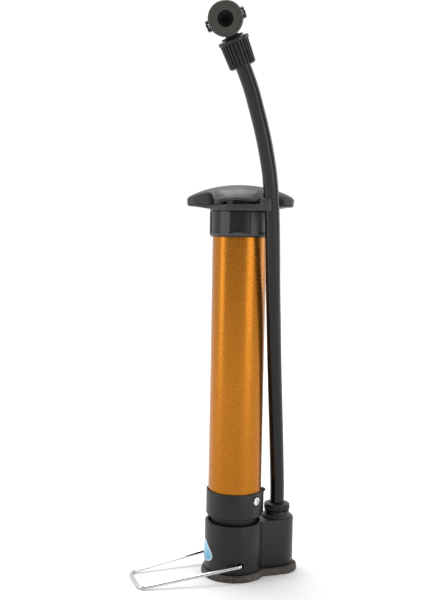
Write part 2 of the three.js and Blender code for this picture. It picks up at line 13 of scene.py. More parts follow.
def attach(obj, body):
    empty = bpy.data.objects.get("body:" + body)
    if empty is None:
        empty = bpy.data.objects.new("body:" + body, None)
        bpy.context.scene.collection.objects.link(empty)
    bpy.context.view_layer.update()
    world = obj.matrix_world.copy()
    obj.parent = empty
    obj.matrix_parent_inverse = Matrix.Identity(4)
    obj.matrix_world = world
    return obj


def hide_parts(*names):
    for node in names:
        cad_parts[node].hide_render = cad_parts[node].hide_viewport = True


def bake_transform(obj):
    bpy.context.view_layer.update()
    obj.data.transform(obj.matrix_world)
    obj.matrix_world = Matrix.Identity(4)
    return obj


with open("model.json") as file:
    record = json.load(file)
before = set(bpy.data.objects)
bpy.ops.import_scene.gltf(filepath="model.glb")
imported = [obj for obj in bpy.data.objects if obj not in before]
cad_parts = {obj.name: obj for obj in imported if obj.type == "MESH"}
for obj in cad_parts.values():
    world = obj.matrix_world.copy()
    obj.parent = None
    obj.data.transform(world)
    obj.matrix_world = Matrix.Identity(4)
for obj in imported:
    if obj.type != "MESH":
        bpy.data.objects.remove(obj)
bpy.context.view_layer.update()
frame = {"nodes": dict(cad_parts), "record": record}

MM = 0.001
TURN = 2 * math.pi
SHARP = 32      # degrees; an edge that bends more than this stays sharp

# ---- driving sizes, in millimetres, as in the CAD ----
BARREL_R, BARREL_BORE = 17.5, 16.3
COLLAR_R, COLLAR_BOTTOM, COLLAR_TOP = 18.6, 40.0, 56.6
BASE_R, BOSS_R, BOSS_X = 19.1, 11.1, 30.4
BASE_BOTTOM, BASE_TOP = 4.3, 35.9
PAD_R, PAD_BOSS_R, PAD_TOP = 20.9, 13.8, 4.0
CUP_R, CUP_FLOOR = 17.1, 22.0
CAP_R, CAP_BOTTOM, CAP_TOP = 19.5, 221.7, 238.0
CAP_FLUTES, CAP_FLUTE_ANGLE, CAP_FLUTE_HALF = 6, math.radians(-110), math.radians(21)
SCREWS, SCREW_ANGLE, SCREW_Z, SCREW_SEAT = 2, math.radians(-59.5), 51.2, 18.0
HOSE_R = 4.7
HANDLE_TURN, HANDLE_BOTTOM, HANDLE_CREST = math.radians(-28), 238.3, 255.3
HANDLE_WAIST, HUB_R = 242.3, 19.6
DOME_X, DOME_Y, DOME_Z = 46.5, 24.6, 230
STIRRUP_X, STIRRUP_Z, WIRE_R = -1.65, 10.7, 1.1

# The hose's centre line, from inside the lower nut to inside the upper nut.
HOSE_ROUTE = [
    (30.4, 0, 41), (30.4, -0.1, 48), (29.9, -0.9, 58), (28.7, -2.4, 72), (27.2, -4.3, 88),
    (25.6, -6.2, 104), (24.0, -8.1, 120), (22.4, -10.0, 136), (20.8, -12.1, 152), (19.2, -14.4, 168),
    (17.5, -16.8, 184), (15.9, -19.3, 200), (14.3, -21.8, 216), (12.7, -24.1, 232), (10.9, -26.3, 246),
    (8.5, -28.4, 260), (5.3, -30.3, 273), (1.5, -31.9, 286), (-2.9, -33.2, 299), (-7.2, -34.0, 311.3),
    (-12.5, -34.6, 323.3), (-14.75, -34.88, 328.2),
]

# The valve head's own frame: +Z up its leaning neck, -Y out of the valve mouth.
HEAD_CENTRE = Vector((-24.9, -36.2, 350.1))
HEAD_UP = Vector((-0.42, -0.055, 0.906)).normalized()
HEAD_MOUTH_SIDE = Vector((-0.415, -0.91, 0))


# ---- camera ----
CAMERA_PLACE = Vector((-0.20017, -0.54462, 0.21997))
CAMERA_RIGHT = Vector((0.948656, -0.315788, 0.018174))
CAMERA_UP = Vector((0.004169, 0.069933, 0.997543))
CAMERA_LENS, CAMERA_SENSOR = 53.57, 36      # millimetres


def make_camera():
    """Looks at the pump from a little below the handle, from the front left."""
    data = bpy.data.cameras.new("camera")
    data.sensor_width = CAMERA_SENSOR
    data.lens = CAMERA_LENS
    data.clip_start = 0.01
    camera = bpy.data.objects.new("camera", data)
    bpy.context.scene.collection.objects.link(camera)
    right = CAMERA_RIGHT.normalized()
    up = (CAMERA_UP - right * CAMERA_UP.dot(right)).normalized()
    turn = Matrix((right, up, right.cross(up))).transposed()
    camera.matrix_world = Matrix.LocRotScale(CAMERA_PLACE, turn, None)
    bpy.context.scene.camera = camera


make_camera()


# ---- mesh building ----
def smoothstep(low, high, x):
    t = min(max((x - low) / (high - low), 0), 1)
    return t * t * (3 - 2 * t)


def loft(rings, loop=False):
    """Vertices and faces of a skin through rings that all have the same number of points.

    With loop the last ring joins the first; without it a fan closes each end.
    """
    n = len(rings[0])
    verts = [Vector(p) for ring in rings for p in ring]
    faces = []
    last = len(rings) if loop else len(rings) - 1
    for k in range(last):
        a, b = k * n, (k + 1) % len(rings) * n
        for i in range(n):
            j = (i + 1) % n
            faces.append((a + i, a + j, b + j, b + i))
    for start in () if loop else (0, (len(rings) - 1) * n):
        verts.append(sum(verts[start:start + n], Vector()) / n)
        centre = len(verts) - 1
        faces += [(start + i, start + (i + 1) % n, centre) for i in range(n)]
    return verts, faces


def rounded(profile, radius=0.3, steps=3, loop=True):
    """The same profile with each corner turned into a small arc."""
    count = len(profile)
    out = []
    for i, corner in enumerate(profile):
        p = Vector(corner)
        if not loop and i in (0, count - 1):
            out.append(tuple(p))
            continue
        a = Vector(profile[i - 1]) - p
        b = Vector(profile[(i + 1) % count]) - p
        cut = min(radius, a.length * 0.45, b.length * 0.45)
        start, end = p + a.normalized() * cut, p + b.normalized() * cut
        for k in range(steps + 1):
            t = k / steps
            out.append(tuple(start * (1 - t) ** 2 + p * 2 * t * (1 - t) + end * t * t))
    return out


def split_runs(profile, steps_of):
    """The closed profile with its run from a to b cut into steps_of(a, b) equal parts."""
    out = []
    for a, b in zip(profile, profile[1:] + profile[:1]):
        steps = steps_of(a, b)
        out += [(a[0] + (b[0] - a[0]) * k / steps, a[1] + (b[1] - a[1]) * k / steps) for k in range(steps)]
    return out


def lathe(profile, segments, loop=True, shape=None):
    """Skin of a turned piece about +Z from (radius, height) points; shape(r, z, angle) may cut into r."""
    rings = []
    for r, z in profile:
        ring = []
        for i in range(segments):
            angle = i / segments * TURN
            radius = shape(r, z, angle) if shape else r
            ring.append((radius * math.cos(angle), radius * math.sin(angle), z))
        rings.append(ring)
    return loft(rings, loop=loop)


def solid(name, skin, matrix=None, sharp=SHARP):
    """An object, in metres, from vertices and faces in millimetres; smooth but for its sharp edges."""
    verts, faces = skin
    bm = bmesh.new()
    made = [bm.verts.new(matrix @ v if matrix else v) for v in verts]
    for face in faces:
        bm.faces.new([made[i] for i in face])
    bmesh.ops.scale(bm, vec=(MM, MM, MM), verts=bm.verts)
    bmesh.ops.recalc_face_normals(bm, faces=bm.faces)
    mesh = bpy.data.meshes.new(name)
    bm.to_mesh(mesh)
    bm.free()
    obj = bpy.data.objects.new(name, mesh)
    bpy.context.scene.collection.objects.link(obj)
    return soften(obj, sharp)


def soften(obj, sharp=SHARP):
    for polygon in obj.data.polygons:
        polygon.use_smooth = True
    obj.data.set_sharp_from_angle(angle=math.radians(sharp))
    return obj


def applied(obj):
    """The object with its modifiers made part of its mesh."""
    bpy.context.view_layer.update()
    mesh = bpy.data.meshes.new_from_object(obj.evaluated_get(bpy.context.evaluated_depsgraph_get()))
    obj.modifiers.clear()
    obj.data = mesh
    return soften(obj)


def combined(obj, others, operation="UNION"):
    """The object joined with the others, or cut by them; the others are used up."""
    for other in others:
        modifier = obj.modifiers.new("combine", "BOOLEAN")
        modifier.operation = operation
        modifier.object = other
        modifier.solver = "EXACT"
        applied(obj)
        bpy.data.objects.remove(other)
    return obj


def bevelled(obj, width, segments=3):
    modifier = obj.modifiers.new("bevel", "BEVEL")
    modifier.width = width * MM
    modifier.segments = segments
    modifier.limit_method = "ANGLE"
    modifier.angle_limit = math.radians(30)
    return applied(obj)


def slab(outline, low, high):
    """Skin of a straight prism from a closed plan outline."""
    return loft([[(x, y, low) for x, y in outline], [(x, y, high) for x, y in outline]])


def along(points, radius, sides):
    """Skin of a round bar along points, with rings that don't twist."""
    points = [Vector(p) for p in points]
    first = (points[1] - points[0]).normalized()
    across = Vector((1, 0, 0)) if abs(first.y) > 0.7 else Vector((0, 1, 0))
    rings = []
    for i, p in enumerate(points):
        tangent = (points[min(i + 1, len(points) - 1)] - points[max(i - 1, 0)]).normalized()
        across = (across - tangent * across.dot(tangent)).normalized()
        other = tangent.cross(across)
        rings.append([
            p + across * radius * math.cos(k / sides * TURN) + other * radius * math.sin(k / sides * TURN)
            for k in range(sides)
        ])
    return loft(rings)


def smooth_route(knots, per_span):
    """Catmull-Rom points through the knots."""
    knots = [Vector(k) for k in knots]
    out = []
    for i in range(len(knots) - 1):
        before = knots[i - 1] if i else knots[0] * 2 - knots[1]
        a, b = knots[i], knots[i + 1]
        after = knots[i + 2] if i + 2 < len(knots) else b * 2 - a
        for k in range(per_span):
            t = k / per_span
            out.append(0.5 * (
                2 * a + (b - before) * t + (2 * before - 5 * a + 4 * b - after) * t * t
                + (3 * a - before - 3 * b + after) * t ** 3
            ))
    out.append(knots[-1])
    return out


def head_matrix():
    mouth = (HEAD_MOUTH_SIDE - HEAD_UP * HEAD_MOUTH_SIDE.dot(HEAD_UP)).normalized()
    side = HEAD_UP.cross(mouth)
    turn = Matrix((side, -mouth, HEAD_UP)).transposed()
    return Matrix.LocRotScale(HEAD_CENTRE, turn, None)


HEAD = head_matrix()
ABOUT_VALVE = HEAD @ Matrix.Rotation(-math.pi / 2, 4, "X")     # +Z of a lathe points behind the head
AT_BOSS = Matrix.Translation((BOSS_X, 0, 0))
AT_HANDLE = Matrix.Rotation(HANDLE_TURN, 4, "Z")


# ---- materials ----
class Look:
    """A node material under construction: n() adds a node, wire() joins two sockets."""

    def __init__(self, name, **fixed):
        self.material = bpy.data.materials.new(name)
        self.material.use_nodes = True
        self.tree = self.material.node_tree
        self.shader = self.tree.nodes["Principled BSDF"]
        self.place = self.n("ShaderNodeTexCoord").outputs["Object"]
        for socket, value in fixed.items():
            self.shader.inputs[socket.replace("_", " ")].default_value = value

    def n(self, kind, **settings):
        node = self.tree.nodes.new(kind)
        for key, value in settings.items():
            if hasattr(node, key):
                setattr(node, key, value)
            else:
                node.inputs[key].default_value = value
        return node

    def wire(self, source, target):
        self.tree.links.new(source, target)

    def noise(self, scale, detail=4, stretch=(1, 1, 1)):
        mapping = self.n("ShaderNodeMapping")
        mapping.inputs["Scale"].default_value = stretch
        self.wire(self.place, mapping.inputs["Vector"])
        node = self.n("ShaderNodeTexNoise", Scale=scale, Detail=detail)
        self.wire(mapping.outputs["Vector"], node.inputs["Vector"])
        return node.outputs["Fac"]

    def spread(self, value, low, high, start=0.3, end=0.7):
        node = self.n("ShaderNodeMapRange")
        for socket, number in (("From Min", start), ("From Max", end), ("To Min", low), ("To Max", high)):
            node.inputs[socket].default_value = number
        self.wire(value, node.inputs["Value"])
        return node.outputs["Result"]

    def mix(self, factor, a, b):
        node = self.n("ShaderNodeMix", data_type="RGBA")
        self.wire(factor, node.inputs["Factor"])
        for socket, colour in ((node.inputs[6], a), (node.inputs[7], b)):
            if isinstance(colour, tuple):
                socket.default_value = (*colour, 1)
            else:
                self.wire(colour, socket)
        return node.outputs[2]

    def colour(self, socket):
        self.wire(socket, self.shader.inputs["Base Color"])

    def roughness(self, socket):
        self.wire(socket, self.shader.inputs["Roughness"])

    def bump(self, *heights):
        """Heights are (socket, depth in millimetres), added one on another."""
        previous = None
        for height, depth in heights:
            node = self.n("ShaderNodeBump", Strength=1.0, Distance=depth * MM)
            self.wire(height, node.inputs["Height"])
            if previous:
                self.wire(previous, node.inputs["Normal"])
            previous = node.outputs["Normal"]
        self.wire(previous, self.shader.inputs["Normal"])


def plastic(name, colour, rough, grain=0.02, wear=0.5):
    look = Look(name, Specular_IOR_Level=0.36)
    light = tuple(c * 1.45 + 0.004 for c in colour)
    dark = tuple(c * 0.82 for c in colour)
    mottle = look.spread(look.noise(55, 5), 0, 1)
    body = look.mix(mottle, dark, tuple(c * 1.12 for c in colour))
    edges = look.spread(look.n("ShaderNodeNewGeometry").outputs["Pointiness"], 0, wear, 0.53, 0.62)
    look.colour(look.mix(edges, body, light))
    look.roughness(look.spread(look.noise(240, 3), rough - 0.06, rough + 0.07))
    look.bump((look.noise(2600, 2), grain), (look.noise(90, 2), 0.03))
    return look.material


def rubber(name, colour, rough, grain=0.03):
    look = Look(name)
    shade = look.spread(look.noise(120, 6), 0, 1)
    look.colour(look.mix(shade, tuple(c * 0.75 for c in colour), tuple(c * 1.25 for c in colour)))
    look.roughness(look.spread(look.noise(400, 3), rough - 0.08, rough + 0.08))
    look.bump((look.noise(1800, 3), grain))
    return look.material


def hose_rubber():
    look = Look("hose_rubber", Specular_IOR_Level=0.28)
    streak = look.spread(look.noise(160, 3, (1, 1, 0.06)), 0, 1)
    look.colour(look.mix(streak, (0.005, 0.005, 0.0055), (0.010, 0.010, 0.0105)))
    look.roughness(look.spread(look.noise(300, 3), 0.13, 0.20))
    look.bump((look.noise(2200, 2), 0.004), (look.noise(150, 2, (1, 1, 0.08)), 0.012))
    return look.material


def foam():
    look = Look("pad_foam", Roughness=0.95)
    patches = look.spread(look.noise(130, 6), 0, 1)
    specks = look.spread(look.noise(900, 4), 0, 1, 0.55, 0.72)
    body = look.mix(patches, (0.040, 0.033, 0.028), (0.085, 0.072, 0.062))
    look.colour(look.mix(specks, body, (0.15, 0.13, 0.115)))
    look.bump((look.noise(700, 6), 0.5), (look.noise(180, 3), 0.6))
    return look.material


def cap_plastic():
    """Satin ribs with smoother, darker panels sunk between them."""
    look = Look("cap_plastic", Specular_IOR_Level=0.36)
    flat = look.n("ShaderNodeMapping")
    flat.inputs["Scale"].default_value = (1, 1, 0)
    look.wire(look.place, flat.inputs["Vector"])
    radius = look.n("ShaderNodeVectorMath", operation="LENGTH")
    look.wire(flat.outputs["Vector"], radius.inputs[0])
    rib = look.spread(radius.outputs["Value"], 0, 1, 0.01895, 0.0192)
    streak = look.spread(look.noise(150, 4, (1, 1, 0.1)), 0, 1)
    panel = look.mix(streak, (0.002, 0.002, 0.0022), (0.006, 0.006, 0.0062))
    look.colour(look.mix(rib, panel, look.mix(streak, (0.036, 0.036, 0.036), (0.056, 0.056, 0.055))))
    look.roughness(look.spread(rib, 0.34, 0.5, 0, 1))
    look.bump((look.noise(2600, 2), 0.015))
    return look.material


def gold():
    """Anodised tube: metallic gold with a fine flake and faint lines along its length."""
    look = Look("gold_anodised", Metallic=0.85)
    flake = look.n("ShaderNodeTexVoronoi", Scale=2100)
    look.wire(look.place, flake.inputs["Vector"])
    glint = look.spread(flake.outputs["Color"], 0, 1, 0.1, 0.9)
    cloud = look.spread(look.noise(60, 3, (1, 1, 0.25)), 0, 1)
    deep = look.mix(cloud, (0.315, 0.100, 0.004), (0.375, 0.128, 0.007))
    look.colour(look.mix(glint, deep, (0.43, 0.155, 0.013)))
    look.roughness(look.spread(look.noise(900, 2), 0.23, 0.34))
    look.bump((flake.outputs["Distance"], 0.006), (look.noise(700, 2, (1, 1, 0.02)), 0.008))
    return look.material


def metal(name, colour, rough, line=0.01):
    look = Look(name, Metallic=1.0)
    tone = look.spread(look.noise(200, 4), 0, 1)
    look.colour(look.mix(tone, tuple(c * 0.88 for c in colour), colour))
    look.roughness(look.spread(look.noise(700, 3), max(rough - 0.05, 0.03), rough + 0.08))
    look.bump((look.noise(1500, 2, (1, 1, 8)), line))
    return look.material


def badge_fill():
    """Blue that deepens from the top left of the drop to its round foot."""
    look = Look("badge_blue", Coat_Weight=0.6, Coat_Roughness=0.08)
    split = look.n("ShaderNodeSeparateXYZ")
    look.wire(look.place, split.inputs["Vector"])
    height = look.spread(split.outputs["Z"], 0, 1, 0.007, 0.020)
    look.colour(look.mix(height, (0.02, 0.20, 0.46), (0.20, 0.55, 0.78)))
    look.roughness(look.spread(look.noise(300, 3), 0.28, 0.40))
    look.bump((look.noise(1200, 2), 0.01))
    return look.material


def print_white():
    look = Look("badge_edge", Coat_Weight=0.5)
    look.colour(look.mix(look.spread(look.noise(400, 3), 0, 1), (0.62, 0.64, 0.66), (0.72, 0.73, 0.74)))
    look.roughness(look.spread(look.noise(300, 3), 0.3, 0.4))
    look.bump((look.noise(1200, 2), 0.01))
    return look.material


LOOKS = {
    "black_plastic": plastic("black_plastic", (0.0065, 0.0065, 0.007), 0.38),
    "cap_plastic": cap_plastic(),
    "handle_plastic": plastic("handle_plastic", (0.034, 0.033, 0.0335), 0.44, 0.015),
    "hose_rubber": hose_rubber(),
    "soft_rubber": rubber("soft_rubber", (0.006, 0.006, 0.006), 0.8),
    "pad_foam": foam(),
    "gold_anodised": gold(),
    "zinc_steel": metal("zinc_steel", (0.70, 0.70, 0.72), 0.24),
    "chrome_wire": metal("chrome_wire", (0.66, 0.66, 0.67), 0.16, 0.004),
    "brass": metal("brass", (0.68, 0.47, 0.20), 0.26),
    "badge_blue": badge_fill(),
}
HEAD_FACE = plastic("head_face", (0.036, 0.033, 0.029), 0.55, 0.05)
# Near-black rubber for the parts in the valve mouth: the gasket's own black, darkened further as painted
# shade so that the mouth reads as a dark hole.
VALVE_BLACK_PAINTED_SHADE = rubber("valve_black_painted_shade", (0.003, 0.003, 0.003), 0.85)
PRINT_WHITE = print_white()


def finish_piece(obj, body, slot, *nodes, look=None):
    """Gives a piece its material (its slot's look unless another look is given) and its body, and hides the
    CAD nodes that it stands for.
    """
    obj.data.materials.clear()
    obj.data.materials.append(look or LOOKS[slot])
    if body:
        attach(obj, body)
    if nodes:
        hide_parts(*nodes)


# ---- hose ----
def make_hose():
    route = smooth_route(HOSE_ROUTE, 8)
    hose = solid("hose_tube", along(route, HOSE_R, 40))
    finish_piece(hose, None, "hose_rubber", "air_hose")
    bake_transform(hose)
    length = sum((b - a).length for a, b in zip(route, route[1:])) * MM
    return hose, [p * MM for p in route], length


hose, hose_path, hose_length = make_hose()


# ---- base, pad, badge and stirrup ----
def base_outline(lobe, boss):
    """Plan of the base: the boss's round end, its side, the big lobe and the other side."""
    crease = math.asin(boss / lobe)
    crease_x = lobe * math.cos(crease)
    points = []
    for i in range(64):
        a = -math.pi / 2 + i / 64 * math.pi
        points.append((BOSS_X + boss * math.cos(a), boss * math.sin(a)))
    for i in range(16):
        points.append((BOSS_X + (crease_x - BOSS_X) * i / 16, boss))
    for i in range(180):
        a = crease + i / 180 * (TURN - 2 * crease)
        points.append((lobe * math.cos(a), lobe * math.sin(a)))
    for i in range(16):
        points.append((crease_x + (BOSS_X - crease_x) * i / 16, -boss))
    return points


def base_ring(z, inset):
    return [(x, y, z) for x, y in base_outline(BASE_R - inset, BOSS_R - inset)]


def make_base():
    walls = [(BASE_BOTTOM, 0.5), (4.5, 0.15), (4.9, 0), (20, 0), (35.2, 0), (35.65, 0.1), (35.85, 0.3),
             (BASE_TOP, 0.6)]
    rings = [base_ring(z, inset) for z, inset in walls]
    angles = [math.atan2(y, x) for x, y, _ in rings[-1]]
    for r, z in ((17.5, BASE_TOP), (17.2, 35.8), (CUP_R, 35.5), (CUP_R, CUP_FLOOR)):
        rings.append([(r * math.cos(a), r * math.sin(a), z) for a in angles])
    base = solid("base_body", loft(rings))
    neck_r, neck_bore, neck_top = 8.2, 4.4, 40      # slimmer than the CAD's plain neck
    neck = solid("neck", lathe(rounded([
        (neck_bore, 30), (10.3, 30), (10.3, 36.5), (8.4, 37.8), (neck_r, neck_top), (neck_bore, neck_top)],
        0.35), 96), AT_BOSS)
    slot_half, slot_low, slot_high, slot_inside, slot_outside = 1.75, -1.1, 0.3, 16.6, 22
    combined(base, [neck])
    cutters = []
    for side in (-1, 1):
        slot = []
        for i in range(40):
            a = i / 40 * TURN
            centre = slot_high if math.cos(a) > 0 else slot_low
            slot.append((centre + slot_half * math.cos(a), slot_half * math.sin(a)))
        turn = Matrix.Translation((STIRRUP_X, 0, STIRRUP_Z)) @ Matrix.Rotation(side * -math.pi / 2, 4, "X")
        cutters.append(solid("slot", slab(slot, slot_inside, slot_outside), turn))
    combined(base, cutters, "DIFFERENCE")
    finish_piece(base, "pump_body", "black_plastic", "base_shell")


def make_pad():
    """Rough-cut foam sole: a wavy, frayed edge and a slightly bulged side."""
    rows = [(0, 0.5), (0.25, 0.1), (1.2, -0.15), (2.2, -0.2), (3.2, -0.05), (3.8, 0.25), (PAD_TOP, 0.7)]
    waves = ((0.55, 0.22), (0.38, 0.9), (0.16, 2.6))      # each one's depth in millimetres and its fineness
    rings = []
    for z, inset in rows:
        ring = []
        for x, y in base_outline(PAD_R - inset, PAD_BOSS_R - inset):
            out = Vector((x - min(max(x, 0), BOSS_X), y, 0)).normalized()
            here = Vector((x, y, z))
            rough = sum(deep * noise.noise(here * fine) for deep, fine in waves)
            push = out * (rough if 0 < z < PAD_TOP else rough * 0.6)
            lift = 0 if z < 0.1 else 0.18 * noise.noise(here * 0.5 + Vector((9, 3, 1)))
            ring.append(here + push + Vector((0, 0, min(lift, 0.15) if z > 3 else 0)))
        rings.append(ring)
    pad = solid("foam_sole", loft(rings), sharp=60)
    finish_piece(pad, "pump_body", "pad_foam", "foot_pad")


def drop_outline(half, top, foot, count=48):
    """A plain drop with a pointed top and a round foot, as (along the wall, height) in millimetres."""
    spans = [((0, top), (-half * 0.39, top * 0.56), (-half, top * 0.26), (-half, -foot * 0.2)),
             ((-half, -foot * 0.2), (-half, -foot * 1.25), (half, -foot * 1.25), (half, -foot * 0.2)),
             ((half, -foot * 0.2), (half, top * 0.26), (half * 0.39, top * 0.56), (0, top))]
    out = []
    for a, b, c, d in spans:
        a, b, c, d = Vector(a), Vector(b), Vector(c), Vector(d)
        for k in range(count // 3):
            t = k / (count // 3)
            out.append(a * (1 - t) ** 3 + b * 3 * t * (1 - t) ** 2 + c * 3 * t * t * (1 - t) + d * t ** 3)
    return out


def curved_sticker(name, outline, radius, thick):
    """A thin skin of that outline, wrapped on the base's left side."""
    rings = []
    rims = [(0, 1.0), (thick * 0.7, 1.0)] + [(thick, grow) for grow in (0.985, 0.9, 0.7, 0.4, 0.1)]
    for depth, grow in rims:
        ring = []
        for p in outline:
            a = math.pi + p.x * grow / radius
            r = radius + depth
            ring.append((r * math.cos(a), r * math.sin(a), 15.9 + p.y * grow))
        rings.append(ring)
    return solid(name, loft(rings))


def make_badge():
    edge = curved_sticker("badge_edge", drop_outline(8.3, 8.6, 5.9), BASE_R + 0.12, 0.25)
    finish_piece(edge, "pump_body", "badge_blue", "drop_badge", look=PRINT_WHITE)
    fill = curved_sticker("badge_fill", drop_outline(7.6, 7.4, 5.3), BASE_R + 0.3, 0.18)
    finish_piece(fill, "pump_body", "badge_blue")


def make_stirrup():
    """Wire loop: ends bent into the base, legs down to the floor, rounded foot bar."""
    length, half, end_half, bend = 66, 20.6, 14.2, 5
    pin_end, shoulder, shoulder_width = 13, 2, 2.2
    slope = math.asin((STIRRUP_Z - WIRE_R) / length)
    taper = (half - end_half) / length
    flat = [(0, pin_end)]
    for i in range(9):
        a = i / 8 * math.pi / 2
        flat.append((shoulder - shoulder * math.cos(a), half - shoulder_width + shoulder_width * math.sin(a)))
    for i in range(1, 12):
        s = shoulder + (length - bend - shoulder) * i / 12
        flat.append((s, half - s * taper))
    start = length - bend
    for i in range(13):
        a = i / 12 * math.pi / 2
        flat.append((start + bend * math.sin(a), half - start * taper - bend * (1 - math.cos(a))))

    def at(s, w):
        return (STIRRUP_X - s * math.cos(slope), w, STIRRUP_Z - s * math.sin(slope))

    points = [at(s, -w) for s, w in flat] + [at(s, w) for s, w in reversed(flat)]
    wire = solid("stirrup_loop", along(points, WIRE_R, 20))
    finish_piece(wire, "stirrup", "chrome_wire", "stirrup_wire")


# ---- barrel, foot collar and cap ----
def screw_turn(i):
    """Turns a piece that stands along +Z so that it points out along screw i."""
    about = Matrix.Rotation(SCREW_ANGLE + i * TURN / SCREWS, 4, "Z")
    return Matrix.Translation((0, 0, SCREW_Z)) @ about @ Matrix.Rotation(math.pi / 2, 4, "Y")


def make_collar():
    profile = rounded([
        (13.5, 24), (16.8, 24), (16.8, 33), (15.2, 33.6), (15.2, COLLAR_BOTTOM), (18.1, COLLAR_BOTTOM),
        (COLLAR_R, 40.7), (COLLAR_R, COLLAR_TOP), (17.85, COLLAR_TOP), (17.85, 43), (13.5, 43)], 0.3)
    verts, faces = lathe(profile, 160)
    for v in verts:
        if v.z > COLLAR_TOP - 0.5:
            v.z += 0.22 * noise.noise(Vector((v.x, v.y, 0)) * 0.3)
            v.z += 0.08 * noise.noise(Vector((v.x, v.y, 5)) * 1.3)
    collar = solid("foot_collar", (verts, faces))
    lug_turn = Matrix.Rotation(math.radians(-20), 4, "Z")
    fin = [(18.1, -0.6), (19.2, -0.6), (19.2, 0.5), (18.1, 0.5)]
    ear = [(18.0, 54.2), (19.3, 54.8), (20.5, 56.0), (20.3, 56.5), (19.0, 57.4), (18.0, 57.7)]
    stood = lug_turn @ Matrix.Rotation(math.pi / 2, 4, "X")
    lugs = [bevelled(solid("fin", slab(fin, 40.8, 55.5), lug_turn), 0.25, 2),
            bevelled(solid("ear", slab(ear, -1.1, 1.1), stood), 0.3, 2)]
    combined(collar, lugs)
    recess_r = 3.5
    hole = [(0.01, SCREW_SEAT), (recess_r, SCREW_SEAT), (recess_r, 22), (0.01, 22)]
    cutters = [solid("recess", lathe(hole, 40, False), screw_turn(i)) for i in range(SCREWS)]
    combined(collar, cutters, "DIFFERENCE")
    finish_piece(collar, "pump_body", "black_plastic", "barrel_foot")


def make_screws():
    for i in range(SCREWS):
        turn = screw_turn(i)
        head = solid("screw", lathe([
            (0.01, 15.7), (0.9, 15.8), (1.25, 16.4), (1.25, 18.2), (2.85, 18.2), (2.85, 18.7), (2.6, 19.15),
            (2.0, 19.5), (1.1, 19.7), (0.01, 19.75)], 48, False), turn)
        cross = [solid("slot", slab([(-a, -b), (a, -b), (a, b), (-a, b)], 19.0, 21), turn)
                 for a, b in ((1.7, 0.32), (0.32, 1.7))]
        combined(head, cross, "DIFFERENCE")
        head.name = f"pan_screw_{i + 1}"
        finish_piece(head, "pump_body", "zinc_steel", f"collar_screw_{i + 1}")


def make_barrel():
    low, high = 44.5, 227.4
    profile = rounded([(BARREL_BORE, low), (BARREL_R, low), (BARREL_R, high), (BARREL_BORE, high)], 0.2)
    tall = split_runs(profile, lambda a, b: 24 if abs(a[1] - b[1]) > 50 else 1)
    barrel = solid("gold_barrel", lathe(tall, 144))
    finish_piece(barrel, "pump_body", "gold_anodised", "barrel_tube")


def make_cap():
    """Cap with wide shallow grip panels between ribs; each panel's lower edge is a low arch."""
    def shape(r, z, angle):
        if r < CAP_R - 1.4 or z < CAP_BOTTOM + 1.2:
            return r
        step = TURN / CAP_FLUTES
        off = (angle - CAP_FLUTE_ANGLE + step / 2) % step - step / 2
        arch = CAP_BOTTOM + 2.0 + 1.1 * math.cos(off / CAP_FLUTE_HALF * math.pi / 2)
        inside = 1 - smoothstep(CAP_FLUTE_HALF * 0.93, CAP_FLUTE_HALF * 1.06, abs(off))
        return r - 0.85 * inside * smoothstep(arch - 0.35, arch + 0.35, z)

    profile = rounded([
        (17.85, CAP_BOTTOM), (18.5, CAP_BOTTOM), (CAP_R, CAP_BOTTOM + 1.7), (CAP_R, CAP_TOP), (6.2, CAP_TOP),
        (6.2, 228), (17.85, 228)], 0.4)
    tall = split_runs(profile, lambda a, b: 36 if a[0] > 19 and b[0] > 19 and abs(a[1] - b[1]) > 5 else 1)
    cap = solid("barrel_top_cap", lathe(tall, 360, shape=shape))
    finish_piece(cap, "pump_body", "cap_plastic", "barrel_cap")


def make_rod():
    rod = solid("piston_rod_bright", lathe(rounded([
        (0.01, 48.5), (2.5, 48.5), (2.5, 65.6), (4, 65.6), (4, 239.3), (3, 239.3), (3, 249.5), (0.01, 249.5)],
        0.2, loop=False), 64, False))
    finish_piece(rod, "piston_assembly", "zinc_steel", "piston_rod")


# ---- handle ----
def box_radius(angle, half_x, half_y, power):
    """A rounded box seen from its centre: the higher the power, the squarer it is."""
    x, y = abs(math.cos(angle)) / half_x, abs(math.sin(angle)) / half_y
    return (x ** power + y ** power) ** (-1 / power)


def smooth_max(a, b, power=12):
    return (a ** power + b ** power) ** (1 / power)


def dome_height(x, y):
    inside = max(1 - (x / DOME_X) ** 2 - (y / DOME_Y) ** 2, 0)
    return DOME_Z + (HANDLE_CREST - DOME_Z) * math.sqrt(inside)


def pocket_share(x, y):
    """1 inside a pocket under the shell's edge, 0 on a rib or wall; the back is the front turned round."""
    along_front = x if y < 0 else -x
    share = 0
    for start, end in ((-20.5, -15.2), (-11.1, -6.4), (-2.2, 15.4), (24.2, 29.2)):
        inside = smoothstep(start, start + 0.7, along_front)
        share = max(share, inside * (1 - smoothstep(end - 0.7, end, along_front)))
    return share


# One direction out from the handle's axis: its cosine and sine, the shell's full radius there and the lower
# rim's, the waist's radius in a pocket or on a rib, the heights of brim and foot, the dip of the brim, how
# far the wing's end is rounded, and the radius and height where the crown starts.
Column = namedtuple("Column", "c s full low waist brim foot dip round_edge inner top")


